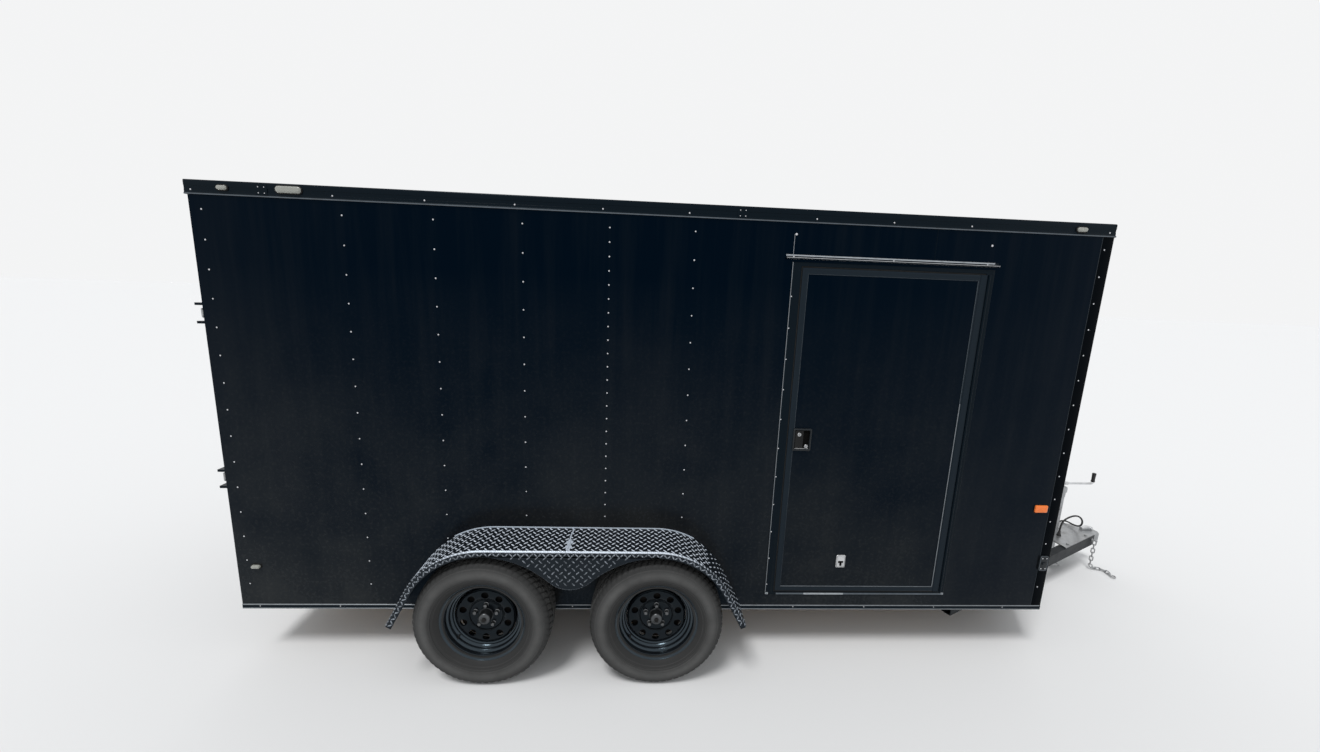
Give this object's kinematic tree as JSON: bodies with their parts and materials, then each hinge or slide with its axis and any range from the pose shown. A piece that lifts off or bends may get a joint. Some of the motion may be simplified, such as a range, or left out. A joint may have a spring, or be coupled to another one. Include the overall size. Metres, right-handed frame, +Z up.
{
  "type": "enclosed cargo trailer",
  "caption": "Tandem-axle enclosed cargo trailer with a V nose, hinged side door, rear ramp door, diamond-plate fenders, ball coupler and jack.",
  "frame": {"origin": "on the ground under the middle of the overall length and width", "axes": "+X forward to the coupler, +Y to the trailer's left, +Z up"},
  "size_m": [5.756, 2.287, 2.407],
  "materials": {
    "skin": "gloss",
    "trim": "satin",
    "steel": "semi-gloss",
    "tread_plate": "semi-gloss over raised tread",
    "plywood": "bare plywood",
    "tyre": "dusty",
    "rim": "gloss",
    "zinc": "zinc plated",
    "clear_lens": "clear lens",
    "amber_lens": "moulded lens",
    "red_lens": "moulded lens",
    "black_plastic": "moulded",
    "bright_plate": "bright"
  },
  "bodies": {
    "trailer": {"frame_rails": "steel", "nose_rails": "steel", "crossmembers": "steel", "tongue_rails": "steel", "coupler": "zinc", "coupler_latch": "zinc", "jack_tube": "zinc", "jack_crank": "zinc", "safety_chains": "zinc", "trailer_cord": "black_plastic", "cord_gland": "black_plastic", "cord_plug": "black_plastic", "floor_deck": "plywood", "wall_left": "skin", "wall_right": "skin", "nose_walls": "skin", "roof": "skin", "top_rails": "trim", "skirt_trims": "trim", "corner_trims": "trim", "nose_trim": "trim", "stone_guard": "tread_plate", "rear_posts": "trim", "rear_header": "trim", "rear_sill": "trim", "plate_holder": "black_plastic", "door_casing": "trim", "door_hinge": "trim", "holdback_catch": "black_plastic", "drip_rail": "trim", "fenders": "tread_plate", "axle_beams": "steel", "axle_arms": "steel", "marker_lamps": "clear_lens", "amber_markers": "amber_lens", "tail_lamps": "red_lens"},
    "wheel_rear_right": {"tyre_rear_right": "tyre", "rim_rear_right": "rim"},
    "wheel_rear_left": {"tyre_rear_left": "tyre", "rim_rear_left": "rim"},
    "wheel_front_right": {"tyre_front_right": "tyre", "rim_front_right": "rim"},
    "wheel_front_left": {"tyre_front_left": "tyre", "rim_front_left": "rim"},
    "side_door": {"side_door": "skin", "door_latch": "black_plastic", "door_holdback": "bright_plate"},
    "ramp_door": {"ramp_door": "skin", "bar_locks": "zinc"},
    "jack_leg": {"jack_leg": "zinc"}
  },
  "joints": [
    {"name": "wheel_rear_right_spin", "type": "hinge", "parent": "trailer", "child": "wheel_rear_right", "pos_m": [-1.529, -1.0405, 0.34], "axis": [0, 1, 0], "continuous": true},
    {"name": "wheel_rear_left_spin", "type": "hinge", "parent": "trailer", "child": "wheel_rear_left", "pos_m": [-1.529, 1.0405, 0.34], "axis": [0, 1, 0], "continuous": true},
    {"name": "wheel_front_right_spin", "type": "hinge", "parent": "trailer", "child": "wheel_front_right", "pos_m": [-0.665, -1.0405, 0.34], "axis": [0, 1, 0], "continuous": true},
    {"name": "wheel_front_left_spin", "type": "hinge", "parent": "trailer", "child": "wheel_front_left", "pos_m": [-0.665, 1.0405, 0.34], "axis": [0, 1, 0], "continuous": true},
    {"name": "side_door_hinge", "type": "hinge", "parent": "trailer", "child": "side_door", "pos_m": [0.934, -0.9265, 1.26], "axis": [0, 0, 1], "range_deg": [0, 172]},
    {"name": "ramp_door_hinge", "type": "hinge", "parent": "trailer", "child": "ramp_door", "pos_m": [-2.839, 0, 0.394], "axis": [0, -1, 0], "range_deg": [0, 102.4]},
    {"name": "jack_leg_slide", "type": "slide", "parent": "trailer", "child": "jack_leg", "axis": [0, 0, 1], "range_m": [0, 0.118]}
  ]
}
